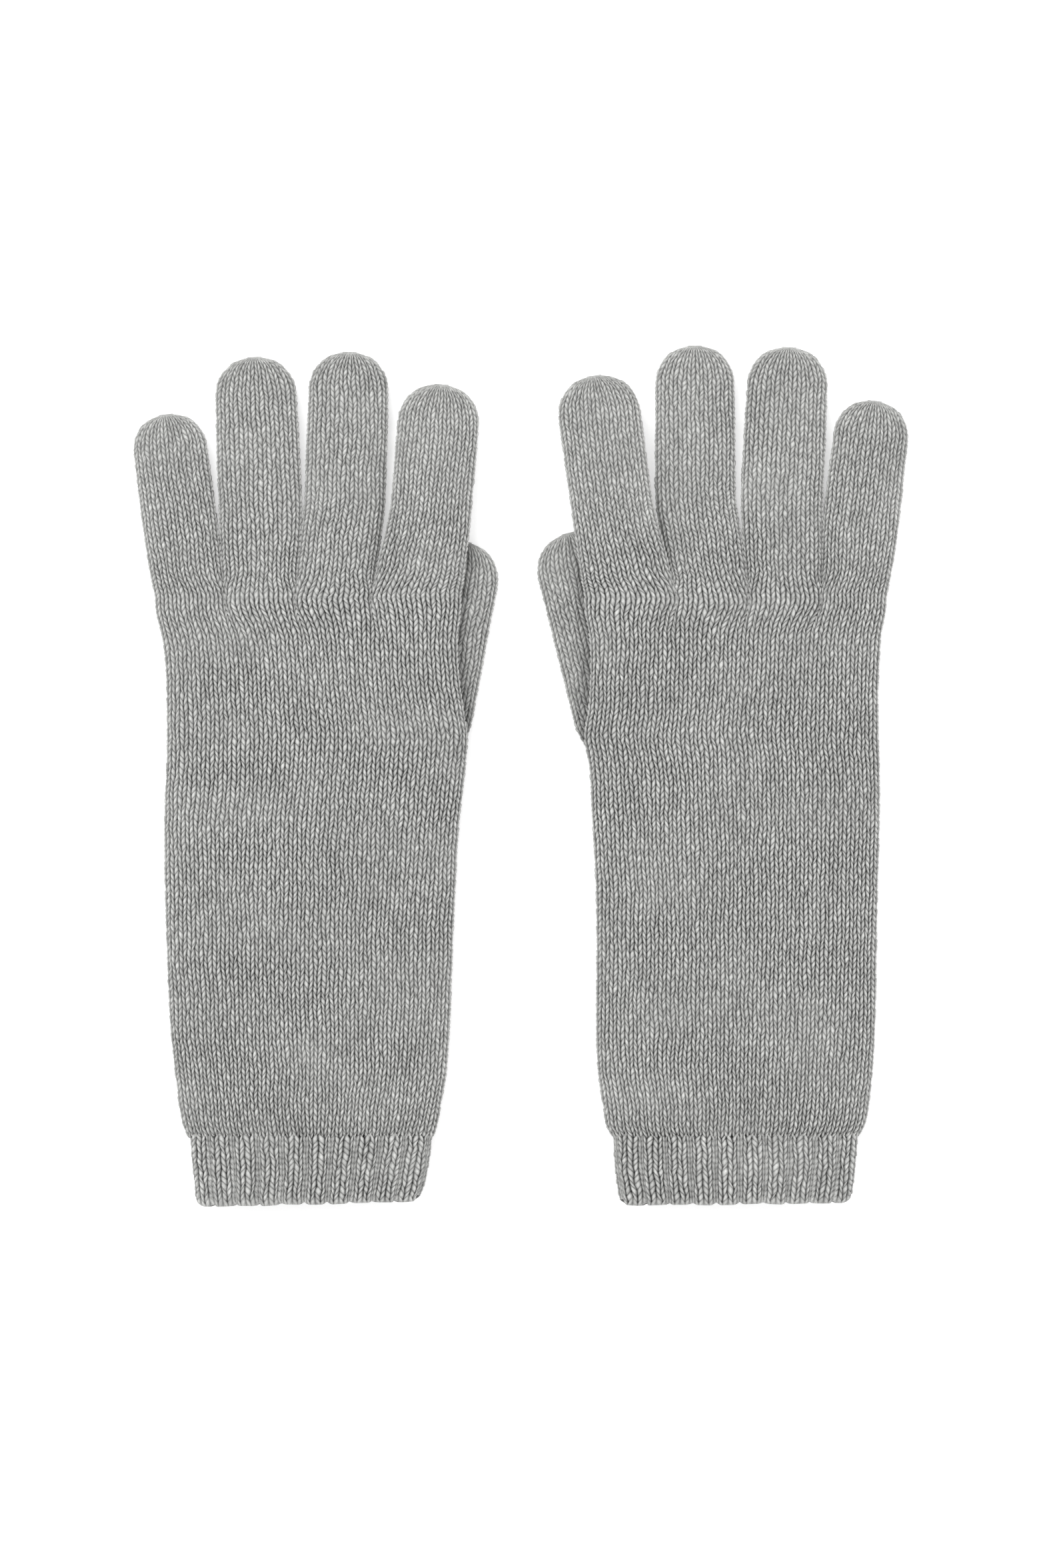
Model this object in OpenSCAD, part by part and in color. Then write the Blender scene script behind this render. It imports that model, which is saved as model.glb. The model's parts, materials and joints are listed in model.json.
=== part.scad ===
// A pair of knitted gloves lying flat, backs up, with each thumb tucked under its palm.
// Every glove is a chain of knitted tubes: rib cuff, sleeve, hand, thumb and four fingers.
// +Y points to the fingertips, +Z up from the table, and the table is z = 0. Units are mm.
// In a glove's own frame u runs from the little finger side to the thumb side.

/* [Pair] */
// Distance of the left glove's centre line from the middle of the pair
left_centre = 67.2; // [60:0.2:90]
// Distance of the right glove's centre line from the middle of the pair
right_centre = 70.1; // [60:0.2:90]

/* [Fabric] */
// Thickness of the knitted wall
wall = 1.35; // [1:0.05:2]
// Clear height inside a flattened finger
finger_room = 4.3; // [4.2:0.1:6]
// Gap between pieces that move past each other
clearance = 0.35; // [0.3:0.05:0.8]

/* [Cuff and sleeve] */
// Y of the cuff's free edge
mouth_y = -139; // [-160:1:-125]
// Height of the rib cuff along the arm
cuff_length = 22.5; // [10:0.5:40]
// Half width of the cuff
cuff_half = 38; // [30:0.5:45]
// Ribs across one face of the cuff
rib_count = 10; // [6:1:14]
// Height of a rib above the groove beside it
rib_relief = 0.8; // [0.3:0.1:1.2]
// Half width of the sleeve just above the cuff
sleeve_half_low = 42; // [36:0.5:50]
// Half width of the sleeve at the wrist
sleeve_half_top = 47; // [40:0.5:55]

/* [Hand] */
// Y of the wrist fold
wrist_y = -26; // [-40:1:-15]
// Y of the knuckle folds
knuckle_y = 59; // [50:1:70]
// Half width of the hand at the wrist
hand_half_low = 47; // [40:0.5:55]
// Little finger side of the hand at the knuckles, from the centre line
hand_little_side = 51; // [45:0.5:60]
// Thumb side of the hand at the knuckles, from the centre line
hand_thumb_side = 48; // [45:0.5:60]
// Height of the hand's back above the table on the little finger side
little_side_height = 8.4; // [7.2:0.2:14]

/* [Little finger] */
// Place across the hand at the knuckle
little_u = -39.6; // [-45:0.2:-35]
// Width of the base segment
little_base_w = 22.2; // [18:0.2:26]
// Width of the two upper segments
little_w = 23.4; // [18:0.2:26]
// Lean of the base segment towards the thumb side, left glove and right glove
little_base_lean = [-7, -2]; // [-12:0.5:12]
// Lean of the upper segments towards the thumb side, left glove and right glove
little_lean = [-7.4, -6.6]; // [-12:0.2:12]
// Length from knuckle to tip, left glove and right glove
little_length = [58.2, 62.4]; // [50:0.2:75]

/* [Ring finger] */
// Place across the hand at the knuckle
ring_u = -16.1; // [-20:0.2:-12]
// Width of the base segment
ring_base_w = 22.9; // [18:0.2:26]
// Width of the two upper segments
ring_w = 25.8; // [18:0.2:28]
// Lean of the base segment towards the thumb side, left glove and right glove
ring_base_lean = [-0.5, 2.5]; // [-12:0.5:12]
// Lean of the upper segments towards the thumb side, left glove and right glove
ring_lean = [-2.4, -2.8]; // [-12:0.2:12]
// Length from knuckle to tip, left glove and right glove
ring_length = [76.4, 79.6]; // [60:0.2:90]

/* [Middle finger] */
// Place across the hand at the knuckle
middle_u = 7.9; // [4:0.2:12]
// Width of the base segment
middle_base_w = 23.1; // [18:0.2:26]
// Width of the two upper segments
middle_w = 25.4; // [18:0.2:28]
// Lean of the base segment towards the thumb side, left glove and right glove
middle_base_lean = [6, 10]; // [-12:0.5:12]
// Lean of the upper segments towards the thumb side, left glove and right glove
middle_lean = [1.8, 0.2]; // [-12:0.2:12]
// Length from knuckle to tip, left glove and right glove
middle_length = [78.2, 80.5]; // [60:0.2:90]

/* [Index finger] */
// Place across the hand at the knuckle
index_u = 34.6; // [30:0.2:40]
// Width of the base segment
index_base_w = 25.8; // [18:0.2:28]
// Width of the two upper segments
index_w = 26; // [18:0.2:28]
// Lean of the base segment towards the thumb side, left glove and right glove
index_base_lean = [9.5, 11.5]; // [-12:0.5:14]
// Lean of the upper segments towards the thumb side, left glove and right glove
index_lean = [4.6, 7.6]; // [-12:0.2:12]
// Length from knuckle to tip, left glove and right glove
index_length = [67.8, 71]; // [60:0.2:90]

/* [Thumb] */
// Place of the thumb's root across the hand
thumb_u = 38.4; // [34:0.2:42]
// Y of the thumb's root fold
thumb_y = 16; // [5:1:25]
// Width of the thumb
thumb_w = 25.6; // [20:0.2:28]
// Lean of the thumb away from the hand, left glove and right glove
thumb_lean = [10.6, 14]; // [5:0.2:16]
// Length from the root fold to the tip, left glove and right glove
thumb_length = [61, 64.5]; // [50:0.5:75]

/* [Folds] */
// Share of a finger's length in its base segment
base_share = 0.37; // [0.3:0.01:0.45]
// Share of a finger's length from the knuckle to the last fold
mid_share = 0.68; // [0.6:0.01:0.75]
// Share of the thumb's length in its base segment
thumb_share = 0.48; // [0.4:0.01:0.6]

/* [Hidden] */
$fn = 48;
// Half height of a flattened finger and of the room inside it
finger_r = finger_room / 2 + wall;
room_r = finger_room / 2;
// Height of the index finger and the palm above it, which lie over the thumb
lift = 2 * finger_r + clearance;
// Half height of the sleeve, cuff and hand
body_r = (lift + 2 * finger_r) / 2;
body_room_r = body_r - wall;
// Y where the cuff ends, the sleeve ends and the hand's front wall stands
cuff_y = mouth_y + cuff_length;
sleeve_end_y = wrist_y - body_r - clearance;
hand_end_y = knuckle_y - finger_r - clearance;
// Flats that blunt the end of a piece at its fold
fold_flats = 8;
// Larger than any piece, for cutting
big = 400;
// Depth of a cut past a face
past = 1;
fabric = [0.66, 0.66, 0.65];
fabric_light = [0.72, 0.72, 0.71];
fabric_dark = [0.58, 0.58, 0.575];

// ---------- shared shapes ----------

// Puts a glove's own frame in its place: side 0 is the left glove, side 1 the right.
module on_side(side) {
  if (side == 0)
    translate([-left_centre, 0, 0]) children();
  else
    translate([right_centre, 0, 0]) mirror([1, 0, 0]) children();
}

// Flat tube section, w wide and 2 r high.
module flat_section(w, r) {
  square([w - 2 * r, 2 * r], center = true);
  translate([w / 2 - r, 0]) circle(r);
  translate([r - w / 2, 0]) circle(r);
}

// Solid flat tube along a leaning line from y = -big / 8 to y = big / 4.
module flat_bar(w, r, lean) {
  rotate([0, 0, -lean])
    translate([0, -big / 8, 0])
      rotate([-90, 0, 0])
        linear_extrude(height = big * 3 / 8) flat_section(w, r);
}

// Solid flat disc with a rounded rim, as at a fingertip.
module flat_disc(w, r) {
  rotate_extrude() {
    translate([0, -r]) square([w / 2 - r, 2 * r]);
    intersection() {
      translate([w / 2 - r, 0]) circle(r);
      translate([0, -r]) square([w / 2, 2 * r]);
    }
  }
}

// Side view of what lies past a fold, blunted about it, as y and z from the fold.
function fold_side(r, end_y) = concat(
  [[0, -r - past], [end_y, -r - past], [end_y, r + past], [0, r + past]],
  [for (i = [0 : fold_flats]) r * [-sin(i * 180 / fold_flats), cos(i * 180 / fold_flats)]]
);

// Keeps what lies past a fold at the origin, blunted about it, up to y = end_y.
module fold_keep(r, end_y) {
  intersection() {
    children();
    translate([-big / 2, 0, 0])
      rotate([90, 0, 90]) linear_extrude(height = big) polygon(fold_side(r, end_y));
  }
}

// Tube segment between two folds, rise apart in y.
module tube_segment(w, lean, rise) {
  fold_keep(finger_r, rise - finger_r - clearance)
    difference() {
      flat_bar(w, finger_r, lean);
      flat_bar(w - 2 * wall, room_r, lean);
    }
}

// Solid closed end of a finger: a flat bar that stops in a round end, length from the fold.
module finger_end(w, r, lean, length, inset) {
  rotate([0, 0, -lean]) {
    translate([0, length - (w / 2 + inset), 0]) flat_disc(w, r);
    translate([0, -big / 8, 0])
      rotate([-90, 0, 0])
        linear_extrude(height = big / 8 + length - (w / 2 + inset)) flat_section(w, r);
  }
}

// Closed tip segment past a fold.
module tip_segment(w, lean, length) {
  fold_keep(finger_r, big / 2)
    difference() {
      finger_end(w, finger_r, lean, length, 0);
      finger_end(w - 2 * wall, room_r, lean, length, wall);
    }
}

// Fold places of a finger: u and y of its middle fold, then of its last fold.
function fold_a(u, y, length, lean_a) =
  [u + length * base_share * sin(lean_a), y + length * base_share * cos(lean_a)];
function fold_b(u, y, length, lean_a, lean_b) =
  fold_a(u, y, length, lean_a) + length * (mid_share - base_share) * [sin(lean_b), cos(lean_b)];

module finger_base(u, w, z, length, lean_a) {
  a = fold_a(u, knuckle_y, length, lean_a);
  translate([u, knuckle_y, z]) tube_segment(w, lean_a, a[1] - knuckle_y);
}

module finger_mid(u, w, z, length, lean_a, lean_b) {
  a = fold_a(u, knuckle_y, length, lean_a);
  b = fold_b(u, knuckle_y, length, lean_a, lean_b);
  translate([a[0], a[1], z]) tube_segment(w, lean_b, b[1] - a[1]);
}

module finger_tip(u, w, z, length, lean_a, lean_b) {
  b = fold_b(u, knuckle_y, length, lean_a, lean_b);
  translate([b[0], b[1], z]) tip_segment(w, lean_b, length * (1 - mid_share));
}

// Section that reaches inwards from a rounded edge at x = 0.
module edge_section(reach, r) {
  translate([-reach, -r]) square([reach - r, 2 * r]);
  intersection() {
    translate([-r, 0]) circle(r);
    translate([-2 * r, -r]) square([2 * r, 2 * r]);
  }
}

// Half of a flat zone on the +u side: its rounded edge runs from half width a at y0 to b at y1.
module zone_half(y0, y1, a, b, r) {
  lean = atan2(b - a, y1 - y0);
  intersection() {
    translate([a, y0, 0])
      rotate([0, 0, -lean])
        translate([0, -big / 8, 0])
          rotate([-90, 0, 0]) linear_extrude(height = big / 4 + y1 - y0) edge_section(big / 2, r);
    translate([0, y0, -r - past]) cube([big, y1 - y0, 2 * (r + past)]);
  }
}

// Flat zone between y0 and y1, with its own half widths on the -u and +u sides.
module zone(y0, y1, minus_low, minus_high, plus_low, plus_high, r) {
  zone_half(y0, y1, plus_low, plus_high, r);
  mirror([1, 0, 0]) zone_half(y0, y1, minus_low, minus_high, r);
}

// ---------- cuff ----------

// Ribbed outline of the cuff's section.
module rib_section(w, r) {
  flat_section(w - 2 * rib_relief, r - rib_relief);
  run = (w - 1.2 * r) / rib_count;
  for (i = [0 : rib_count - 1], face = [-1, 1])
    translate([(i - (rib_count - 1) / 2) * run, face * (r - rib_relief * 1.5)])
      intersection() {
        circle(run * 0.4);
        square([run, rib_relief * 3], center = true);
      }
}

module rib_cuff(side) {
  w = 2 * cuff_half;
  translate([0, mouth_y, body_r])
    rotate([-90, 0, 0])
      linear_extrude(height = cuff_length)
        difference() {
          rib_section(w, body_r);
          flat_section(w - 2 * (rib_relief + wall), body_r - rib_relief - wall);
        }
}

// ---------- sleeve ----------

module sleeve(side) {
  low = sleeve_half_low;
  top = sleeve_half_top;
  translate([0, 0, body_r])
    difference() {
      zone(cuff_y, sleeve_end_y, low, top, low, top, body_r);
      zone(cuff_y - past, sleeve_end_y + past, low - wall, top - wall, low - wall, top - wall, body_room_r);
    }
}

// ---------- hand ----------

// Half-space under the sloping back of the hand, dropped by depth.
module under_back(depth) {
  slope = atan((2 * body_r - little_side_height) / (hand_little_side + thumb_u - thumb_w));
  translate([-hand_little_side, 0, little_side_height - depth])
    rotate([0, -slope, 0])
      translate([-big / 2, -big / 2, -big]) cube([big, big, big]);
}

// Room under the palm for the thumb, grown by more on the walls that face the hand's inside.
// Its inner wall stands back by what the leaning thumb sweeps as it swings.
module thumb_room(side, more) {
  sweep = finger_r * tan(thumb_lean[side]);
  half = thumb_w / 2 + clearance + sweep + more;
  near = thumb_y - finger_r - clearance - more;
  intersection() {
    translate([thumb_u, thumb_y, -past])
      rotate([0, 0, -thumb_lean[side]])
        translate([-half, -big / 4, 0]) cube([big, big, lift + past + more]);
    translate([-big / 2, near, -past]) cube([big, big, lift + past + more]);
  }
}

// Box cut in the hand's front wall to match the room of one finger.
module finger_door(u, w, z) {
  half = w / 2 - wall - room_r;
  translate([u - half, hand_end_y - 2 * wall, z - room_r]) cube([2 * half, 3 * wall, 2 * room_r]);
}

// Outer shape of the hand from y = low to y = high, or its room when inset is the wall.
module hand_shape(low, high, inset) {
  span = hand_end_y - wrist_y;
  low_l = hand_half_low - inset + (hand_little_side - hand_half_low) * (low - wrist_y) / span;
  high_l = hand_half_low - inset + (hand_little_side - hand_half_low) * (high - wrist_y) / span;
  low_t = hand_half_low - inset + (hand_thumb_side - hand_half_low) * (low - wrist_y) / span;
  high_t = hand_half_low - inset + (hand_thumb_side - hand_half_low) * (high - wrist_y) / span;
  intersection() {
    translate([0, 0, body_r]) zone(low, high, low_l, high_l, low_t, high_t, body_r - inset);
    under_back(inset);
  }
}

module hand(side) {
  door_half = thumb_w / 2 - wall - room_r;
  difference() {
    translate([0, wrist_y, body_r])
      fold_keep(body_r, big / 2)
        translate([0, -wrist_y, -body_r]) hand_shape(wrist_y - body_r - past, hand_end_y, 0);
    thumb_room(side, 0);
    difference() {
      hand_shape(wrist_y - body_r - 2 * past, hand_end_y - wall, wall);
      thumb_room(side, wall);
    }
    finger_door(little_u, little_base_w, finger_r);
    finger_door(ring_u, ring_base_w, finger_r);
    finger_door(middle_u, middle_base_w, finger_r);
    finger_door(index_u, index_base_w, lift + finger_r);
    translate([thumb_u - door_half, thumb_y - finger_r - clearance - 2 * wall, wall])
      cube([2 * door_half, 3 * wall, finger_room]);
  }
}

// ---------- thumb ----------

module thumb_base(side) {
  rise = thumb_length[side] * thumb_share * cos(thumb_lean[side]);
  translate([thumb_u, thumb_y, finger_r]) tube_segment(thumb_w, thumb_lean[side], rise);
}

module thumb_tip(side) {
  reach = thumb_length[side] * thumb_share;
  lean = thumb_lean[side];
  translate([thumb_u + reach * sin(lean), thumb_y + reach * cos(lean), finger_r])
    tip_segment(thumb_w, lean, thumb_length[side] - reach);
}

// ---------- fingers ----------

module little(side, part) {
  l = little_length[side];
  a = little_base_lean[side];
  b = little_lean[side];
  if (part == 0) finger_base(little_u, little_base_w, finger_r, l, a);
  if (part == 1) finger_mid(little_u, little_w, finger_r, l, a, b);
  if (part == 2) finger_tip(little_u, little_w, finger_r, l, a, b);
}

module ring(side, part) {
  l = ring_length[side];
  a = ring_base_lean[side];
  b = ring_lean[side];
  if (part == 0) finger_base(ring_u, ring_base_w, finger_r, l, a);
  if (part == 1) finger_mid(ring_u, ring_w, finger_r, l, a, b);
  if (part == 2) finger_tip(ring_u, ring_w, finger_r, l, a, b);
}

module middle(side, part) {
  l = middle_length[side];
  a = middle_base_lean[side];
  b = middle_lean[side];
  if (part == 0) finger_base(middle_u, middle_base_w, finger_r, l, a);
  if (part == 1) finger_mid(middle_u, middle_w, finger_r, l, a, b);
  if (part == 2) finger_tip(middle_u, middle_w, finger_r, l, a, b);
}

module index(side, part) {
  l = index_length[side];
  a = index_base_lean[side];
  b = index_lean[side];
  z = lift + finger_r;
  if (part == 0) finger_base(index_u, index_base_w, z, l, a);
  if (part == 1) finger_mid(index_u, index_w, z, l, a, b);
  if (part == 2) finger_tip(index_u, index_w, z, l, a, b);
}

// ---------- left glove ----------

module left_rib_cuff() { color(fabric_dark) on_side(0) rib_cuff(0); }
module left_sleeve() { color(fabric) on_side(0) sleeve(0); }
module left_hand() { color(fabric) on_side(0) hand(0); }
module left_thumb_base() { color(fabric_dark) on_side(0) thumb_base(0); }
module left_thumb_tip() { color(fabric_dark) on_side(0) thumb_tip(0); }
module left_index_base() { color(fabric_light) on_side(0) index(0, 0); }
module left_index_mid() { color(fabric) on_side(0) index(0, 1); }
module left_index_tip() { color(fabric_light) on_side(0) index(0, 2); }
module left_middle_base() { color(fabric_light) on_side(0) middle(0, 0); }
module left_middle_mid() { color(fabric) on_side(0) middle(0, 1); }
module left_middle_tip() { color(fabric_light) on_side(0) middle(0, 2); }
module left_ring_base() { color(fabric_light) on_side(0) ring(0, 0); }
module left_ring_mid() { color(fabric) on_side(0) ring(0, 1); }
module left_ring_tip() { color(fabric_light) on_side(0) ring(0, 2); }
module left_little_base() { color(fabric_light) on_side(0) little(0, 0); }
module left_little_mid() { color(fabric) on_side(0) little(0, 1); }
module left_little_tip() { color(fabric_light) on_side(0) little(0, 2); }

// ---------- right glove ----------

module right_rib_cuff() { color(fabric_dark) on_side(1) rib_cuff(1); }
module right_sleeve() { color(fabric) on_side(1) sleeve(1); }
module right_hand() { color(fabric) on_side(1) hand(1); }
module right_thumb_base() { color(fabric_dark) on_side(1) thumb_base(1); }
module right_thumb_tip() { color(fabric_dark) on_side(1) thumb_tip(1); }
module right_index_base() { color(fabric_light) on_side(1) index(1, 0); }
module right_index_mid() { color(fabric) on_side(1) index(1, 1); }
module right_index_tip() { color(fabric_light) on_side(1) index(1, 2); }
module right_middle_base() { color(fabric_light) on_side(1) middle(1, 0); }
module right_middle_mid() { color(fabric) on_side(1) middle(1, 1); }
module right_middle_tip() { color(fabric_light) on_side(1) middle(1, 2); }
module right_ring_base() { color(fabric_light) on_side(1) ring(1, 0); }
module right_ring_mid() { color(fabric) on_side(1) ring(1, 1); }
module right_ring_tip() { color(fabric_light) on_side(1) ring(1, 2); }
module right_little_base() { color(fabric_light) on_side(1) little(1, 0); }
module right_little_mid() { color(fabric) on_side(1) little(1, 1); }
module right_little_tip() { color(fabric_light) on_side(1) little(1, 2); }

left_rib_cuff();
left_sleeve();
left_hand();
left_thumb_base();
left_thumb_tip();
left_index_base();
left_index_mid();
left_index_tip();
left_middle_base();
left_middle_mid();
left_middle_tip();
left_ring_base();
left_ring_mid();
left_ring_tip();
left_little_base();
left_little_mid();
left_little_tip();
right_rib_cuff();
right_sleeve();
right_hand();
right_thumb_base();
right_thumb_tip();
right_index_base();
right_index_mid();
right_index_tip();
right_middle_base();
right_middle_mid();
right_middle_tip();
right_ring_base();
right_ring_mid();
right_ring_tip();
right_little_base();
right_little_mid();
right_little_tip();
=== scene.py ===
"""A pair of knitted gloves lying flat, modelled stitch by stitch as tubes of plain knit and rib."""

import json
import math

import bpy
import numpy as np
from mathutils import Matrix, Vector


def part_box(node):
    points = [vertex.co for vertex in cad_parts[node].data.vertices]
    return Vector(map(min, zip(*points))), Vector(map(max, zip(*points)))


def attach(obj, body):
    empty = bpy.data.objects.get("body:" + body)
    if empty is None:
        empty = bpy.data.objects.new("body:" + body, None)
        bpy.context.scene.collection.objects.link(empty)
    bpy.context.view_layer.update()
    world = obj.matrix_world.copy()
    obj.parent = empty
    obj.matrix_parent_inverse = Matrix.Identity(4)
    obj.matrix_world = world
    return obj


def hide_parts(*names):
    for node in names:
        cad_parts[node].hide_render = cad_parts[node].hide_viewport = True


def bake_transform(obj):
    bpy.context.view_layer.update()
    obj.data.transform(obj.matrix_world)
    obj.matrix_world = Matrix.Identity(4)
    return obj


bl_info = {
    "name": "Knitted gloves",
    "version": (1, 0, 0),
    "blender": (4, 2, 0),
    "location": "View3D > Sidebar > Gloves",
    "description": "Builds a pair of knitted gloves round their packed frame",
    "category": "Object",
}

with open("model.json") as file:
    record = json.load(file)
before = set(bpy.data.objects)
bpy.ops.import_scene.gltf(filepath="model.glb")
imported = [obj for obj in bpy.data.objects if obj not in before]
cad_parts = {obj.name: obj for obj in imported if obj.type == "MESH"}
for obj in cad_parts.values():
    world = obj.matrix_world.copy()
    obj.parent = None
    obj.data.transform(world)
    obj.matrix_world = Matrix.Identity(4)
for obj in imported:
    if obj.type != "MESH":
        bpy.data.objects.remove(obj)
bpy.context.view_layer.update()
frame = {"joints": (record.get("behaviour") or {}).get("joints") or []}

SIDES = ("left", "right")
FINGERS = ("little", "ring", "middle", "index")


def joint_place(name):
    """Place of a joint of the frame, in metres."""
    for joint in frame["joints"]:
        if joint["name"] == name:
            return joint["pos_m"]
    raise RuntimeError("no joint called " + name)


CENTRE = [joint_place(side + "_wrist")[0] for side in SIDES]
TURN = (1.0, -1.0)
CUFF_LOW, CUFF_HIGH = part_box("left_rib_cuff")
MOUTH_Y = CUFF_LOW[1]
CUFF_Y = CUFF_HIGH[1]


def mm(value):
    return value / 1000.0


# ---------------------------------------------------------------- sizes


class GloveFabric(bpy.types.PropertyGroup):
    """Sizes of the knitted fabric."""

    finger_course: bpy.props.FloatProperty(
        name="Finger course",
        description="Height of one row of stitches on a finger",
        default=0.00168,
        unit="LENGTH",
    )
    relief: bpy.props.FloatProperty(
        name="Stitch relief",
        description="Height of a stitch above the gap beside it",
        default=0.00078,
        unit="LENGTH",
    )
    slant: bpy.props.FloatProperty(
        name="Stitch slant",
        description="How far a stitch leg climbs across its width, in courses",
        default=1.05,
    )
    wall: bpy.props.FloatProperty(
        name="Wall", description="Thickness of the fabric under the stitches", default=0.0012, unit="LENGTH"
    )
    leg_points: bpy.props.IntProperty(
        name="Points a leg", description="Mesh points across one leg of a stitch", default=3
    )
    course_points: bpy.props.IntProperty(
        name="Points a course", description="Mesh points along one stitch", default=4
    )


class GloveShape(bpy.types.PropertyGroup):
    """Sizes of the gloves."""

    rib_count: bpy.props.IntProperty(name="Ribs", description="Ribs round the cuff", default=20)
    rib_height: bpy.props.FloatProperty(
        name="Rib height", description="Height of a rib above its groove", default=0.0007, unit="LENGTH"
    )
    finger_thickness: bpy.props.FloatProperty(
        name="Finger thickness", description="Thickness of an empty finger", default=0.0074, unit="LENGTH"
    )
    droop: bpy.props.FloatProperty(
        name="Index droop",
        description="Drop of the index fingertip towards the table",
        default=0.0052,
        unit="LENGTH",
    )


class GloveColours(bpy.types.PropertyGroup):
    """Colours of the yarn and the stage."""

    yarn: bpy.props.FloatVectorProperty(
        name="Yarn",
        description="Mean colour of the yarn",
        subtype="COLOR",
        size=3,
        default=(0.528, 0.530, 0.516),
    )
    floor: bpy.props.FloatVectorProperty(
        name="Floor", description="Colour of the floor", subtype="COLOR", size=3, default=(0.92, 0.92, 0.92)
    )


# ---------------------------------------------------------------- curves and sections


def ease(x):
    """Smooth step from 0 to 1."""
    x = np.clip(x, 0.0, 1.0)
    return x * x * (3.0 - 2.0 * x)


def through(y, places, values):
    """Smooth curve through values at rising places."""
    places = np.asarray(places, float)
    values = np.asarray(values, float)
    slope = np.gradient(values, places)
    y = np.clip(y, places[0], places[-1])
    i = np.clip(np.searchsorted(places, y) - 1, 0, len(places) - 2)
    h = places[i + 1] - places[i]
    t = (y - places[i]) / h
    a = (1 + 2 * t) * (1 - t) ** 2
    b = t * (1 - t) ** 2
    c = t * t * (3 - 2 * t)
    d = t * t * (t - 1)
    return a * values[i] + b * h * slope[i] + c * values[i + 1] + d * h * slope[i + 1]


def section_table(power, aspect, steps=720):
    """Upper half of a flattened tube's section, walked evenly from its left edge to its right."""
    angle = np.linspace(0.0, math.pi, steps + 1)
    x = -np.sign(np.cos(angle)) * np.abs(np.cos(angle)) ** (2.0 / power)
    z = np.abs(np.sin(angle)) ** (2.0 / power)
    x = (x - x[::-1]) / 2
    z = (z + z[::-1]) / 2
    run = np.concatenate([[0.0], np.cumsum(np.hypot(np.diff(x) * aspect, np.diff(z)))])
    return run / run[-1], x, z


HAND_SECTION = section_table(2.5, 8.5)
FINGER_SECTION = section_table(2.25, 3.5)


def on_section(table, g):
    run, x, z = table
    return np.interp(g, run, x), np.interp(g, run, z)


def ripple(u, y, seed, size):
    """Soft uneven swelling of the fabric, from a few fixed waves."""
    rng = np.random.default_rng(seed)
    total = np.zeros(np.broadcast(u, y).shape)
    for _ in range(9):
        angle = rng.uniform(0, 2 * math.pi)
        length = rng.uniform(0.7, 2.2) * size
        phase = rng.uniform(0, 2 * math.pi)
        total += np.sin((u * math.cos(angle) + y * math.sin(angle)) * 2 * math.pi / length + phase)
    return total / 3.0


# ---------------------------------------------------------------- the hand and sleeve

# Places up the glove, and how far its two edges stand from its centre line there.
EDGE_Y = [mm(v) for v in (-117, -113, -106, -96, -80, -60, -35, -15, 5, 13, 22, 36, 46, 53, 58, 62)]
LITTLE_EDGE = (
    [mm(v) for v in (
        39.3, 40.9, 42.3, 43.6, 45.2, 46.2, 47.0, 47.2,
        46.5, 46.4, 46.4, 46.9, 48.1, 49.3, 50.4, 51.3,
    )],
    [mm(v) for v in (
        39.0, 41.2, 42.6, 43.8, 44.8, 45.2, 45.6, 46.2,
        46.2, 45.9, 45.8, 46.2, 46.8, 47.7, 48.7, 49.6,
    )],
)
THUMB_EDGE = (
    [mm(v) for v in (
        39.4, 40.6, 41.9, 43.6, 44.8, 45.5, 46.6, 47.8,
        50.0, 50.6, 49.2, 47.6, 47.4, 47.9, 48.5, 48.9,
    )],
    [mm(v) for v in (
        39.6, 41.6, 42.9, 44.4, 45.0, 44.9, 45.2, 46.2,
        47.6, 48.9, 47.6, 47.0, 47.3, 48.2, 48.9, 49.2,
    )],
)
# Creases between the fingers where they leave the hand, with the hand's own edges at each end.
CREASES = (
    [mm(v) for v in (-50.3, -28.0, -5.3, 19.4, 48.5)],
    [mm(v) for v in (-48.6, -27.6, -4.4, 19.2, 48.9)],
)
# Height of the middle of the fabric tube at those creases.
CREASE_Z = [mm(v) for v in (3.9, 3.9, 4.3, 7.6, 10.9)]
RIM_Y = mm(57.5)
# Columns of stitches round each tube, and the hand's columns where its upper face parts into fingers.
HAND_WALES = 70
CUFF_WALES = 60
THUMB_WALES = 20
STRIPS = (0, 9, 17, 25, 35)


def thumb_inner(side, y):
    """Inner edge of the thumb under the palm."""
    root = joint_place(SIDES[side] + "_thumb_root")
    fold = joint_place(SIDES[side] + "_thumb_fold")
    u0 = (root[0] - CENTRE[side]) * TURN[side]
    u1 = (fold[0] - CENTRE[side]) * TURN[side]
    return u0 - mm(13.0) + (y - root[1]) * (u1 - u0) / (fold[1] - root[1])


def hand_floor(side, u, y):
    """Height of the underside and of the back of the sleeve and hand."""
    root = joint_place(SIDES[side] + "_thumb_root")
    inner = thumb_inner(side, y)
    up = ease((y - root[1] + mm(11)) / mm(9))
    low = mm(7.55) * ease((u - inner + mm(8)) / mm(7.5)) * up
    flat = through(y, [mm(v) for v in (-117, -112, -105, -96, -80, -40, 0, 30, 58)],
                   [mm(v) for v in (9.2, 11.7, 13.3, 12.3, 11.7, 11.6, 11.0, 9.6, 8.4)])
    near = ease((y - root[1] + mm(30)) / mm(34))
    rise = ease((u - inner + mm(34)) / mm(42)) * near
    high = flat + (mm(14.3) - flat) * rise
    return low, high


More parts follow.
